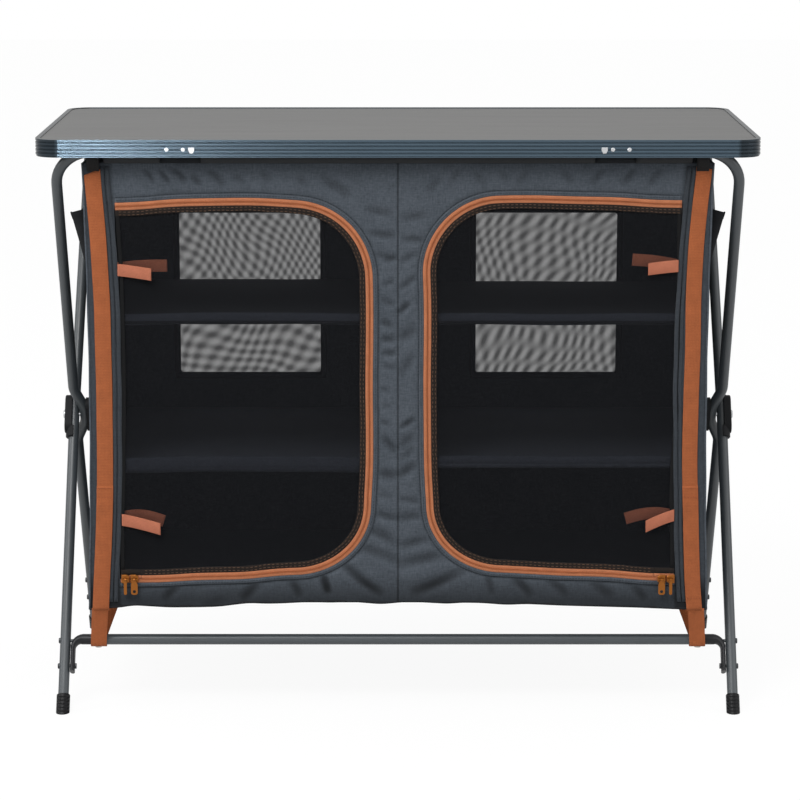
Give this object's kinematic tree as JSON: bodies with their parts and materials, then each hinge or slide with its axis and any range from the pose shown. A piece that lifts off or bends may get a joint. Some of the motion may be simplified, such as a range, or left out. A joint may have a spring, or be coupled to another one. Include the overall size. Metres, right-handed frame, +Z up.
{
  "type": "camping cupboard",
  "caption": "Folding camping cupboard: hard table top on a scissor tube frame that carries a fabric cabinet with zipped mesh doors and shelves.",
  "frame": {"origin": "middle of the footprint on the floor", "axes": "+X to the right along the front, +Y to the back, +Z up"},
  "size_m": [1.06, 0.5138, 0.865],
  "materials": {
    "laminate": "matt grey laminate",
    "edging": "satin blue-grey anodised, ribbed",
    "bare_aluminium": "satin",
    "bright_stud": "bright",
    "frame_tube": "semi-gloss charcoal powder coat",
    "lower_bar": "semi-gloss charcoal powder coat",
    "rivet": "dark",
    "black_plastic": "moulded",
    "cabinet_fabric": "slate heather oxford weave",
    "lining": "dark lining over board",
    "window_mesh": "grey mesh",
    "door_mesh": "black mesh",
    "pocket_fabric": "black fabric",
    "door_binding": "dark binding with orange zip tape",
    "zip_tape": "orange zip tape",
    "tie_webbing": "orange webbing",
    "strap_webbing": "orange webbing",
    "black_webbing": "black webbing",
    "snap": "pale snap cap",
    "zip_metal": "gold finish"
  },
  "bodies": {
    "cabinet": {"front_panel": "cabinet_fabric", "back_panel": "cabinet_fabric", "back_windows": "window_mesh", "side_panel_left": "cabinet_fabric", "side_panel_right": "cabinet_fabric", "roof_panel": "cabinet_fabric", "floor_panel": "lining", "centre_divider": "lining", "floor_boards": "lining", "shelf_lower_left": "lining", "shelf_lower_right": "lining", "shelf_upper_left": "lining", "shelf_upper_right": "lining", "side_pocket_left": "pocket_fabric", "side_pocket_right": "pocket_fabric", "inner_ties": "tie_webbing", "zip_track_left": "zip_tape", "zip_track_right": "zip_tape", "corner_straps_front": "strap_webbing", "corner_straps_rear": "strap_webbing", "strap_loops_front": "strap_webbing", "strap_loops_rear": "strap_webbing", "strap_snaps_front": "snap", "strap_snaps_rear": "snap", "sleeve_front": "cabinet_fabric", "hang_loops_front": "black_webbing"},
    "front_top_frame": {"front_top_tube": "frame_tube", "rear_lower_bar": "lower_bar", "rear_bar_rivets": "rivet", "rear_feet": "black_plastic", "inner_brackets": "black_plastic"},
    "rear_top_frame": {"rear_top_tube": "frame_tube", "front_lower_bar": "lower_bar", "front_bar_rivets": "rivet", "front_feet": "black_plastic", "outer_brackets": "black_plastic", "pivot_pins": "bright_stud", "sleeve_rear": "cabinet_fabric", "hang_loops_rear": "black_webbing"},
    "table": {"table_panel": "laminate", "table_edge": "edging", "table_battens": "bare_aluminium", "table_clips": "black_plastic", "edge_rivets": "bare_aluminium", "clip_studs": "bright_stud"},
    "door_left": {"door_mesh_left": "door_mesh", "door_binding_left": "door_binding", "door_ties_left": "tie_webbing"},
    "slider_left_outer": {"slider_left_outer": "zip_metal"},
    "pull_left_outer": {"pull_left_outer": "zip_metal"},
    "slider_left_inner": {"slider_left_inner": "zip_metal"},
    "pull_left_inner": {"pull_left_inner": "zip_metal"},
    "door_right": {"door_mesh_right": "door_mesh", "door_binding_right": "door_binding", "door_ties_right": "tie_webbing"},
    "slider_right_outer": {"slider_right_outer": "zip_metal"},
    "pull_right_outer": {"pull_right_outer": "zip_metal"},
    "slider_right_inner": {"slider_right_inner": "zip_metal"},
    "pull_right_inner": {"pull_right_inner": "zip_metal"}
  },
  "joints": [
    {"name": "front_bar_pivot", "type": "hinge", "parent": "cabinet", "child": "front_top_frame", "pos_m": [0, -0.236, 0.8464], "axis": [-1, 0, 0], "range_deg": [0, 15]},
    {"name": "crossing_pivot", "type": "hinge", "parent": "front_top_frame", "child": "rear_top_frame", "pos_m": [0, 0, 0.41], "axis": [1, 0, 0], "range_deg": [0, 30], "deforming": ["sleeve_rear", "hang_loops_rear", "strap_loops_front", "strap_loops_rear", "strap_snaps_front", "strap_snaps_rear"]},
    {"name": "table_lift", "type": "slide", "parent": "cabinet", "child": "table", "axis": [0, 0, 1], "range_m": [0, 0.262]},
    {"name": "door_left_hinge", "type": "hinge", "parent": "cabinet", "child": "door_left", "pos_m": [-0.415, -0.2266, 0.4855], "axis": [0, 0, -1], "range_deg": [0, 95]},
    {"name": "slider_left_outer_slide", "type": "slide", "parent": "cabinet", "child": "slider_left_outer", "axis": [1, 0, 0], "range_m": [0, 0.2]},
    {"name": "pull_left_outer_hinge", "type": "hinge", "parent": "slider_left_outer", "child": "pull_left_outer", "pos_m": [-0.4085, -0.2339, 0.203], "axis": [-1, 0, 0], "range_deg": [0, 80]},
    {"name": "slider_left_inner_slide", "type": "slide", "parent": "cabinet", "child": "slider_left_inner", "axis": [1, 0, 0], "range_m": [0, 0.2]},
    {"name": "pull_left_inner_hinge", "type": "hinge", "parent": "slider_left_inner", "child": "pull_left_inner", "pos_m": [-0.395, -0.2339, 0.203], "axis": [-1, 0, 0], "range_deg": [0, 80]},
    {"name": "door_right_hinge", "type": "hinge", "parent": "cabinet", "child": "door_right", "pos_m": [0.415, -0.2266, 0.4855], "axis": [0, 0, 1], "range_deg": [0, 95]},
    {"name": "slider_right_outer_slide", "type": "slide", "parent": "cabinet", "child": "slider_right_outer", "axis": [-1, 0, 0], "range_m": [0, 0.2]},
    {"name": "pull_right_outer_hinge", "type": "hinge", "parent": "slider_right_outer", "child": "pull_right_outer", "pos_m": [0.4085, -0.2339, 0.203], "axis": [-1, 0, 0], "range_deg": [0, 80]},
    {"name": "slider_right_inner_slide", "type": "slide", "parent": "cabinet", "child": "slider_right_inner", "axis": [-1, 0, 0], "range_m": [0, 0.2]},
    {"name": "pull_right_inner_hinge", "type": "hinge", "parent": "slider_right_inner", "child": "pull_right_inner", "pos_m": [0.395, -0.2339, 0.203], "axis": [-1, 0, 0], "range_deg": [0, 80]}
  ],
  "couplings": [
    {"joint": "front_bar_pivot", "follows": "crossing_pivot", "ratio": 0.5},
    {"joint": "table_lift", "follows": "crossing_pivot", "m_per_rad": 0.5},
    {"joint": "slider_left_outer_slide", "follows": "slider_left_inner_slide", "ratio": 1},
    {"joint": "slider_right_outer_slide", "follows": "slider_right_inner_slide", "ratio": 1}
  ]
}
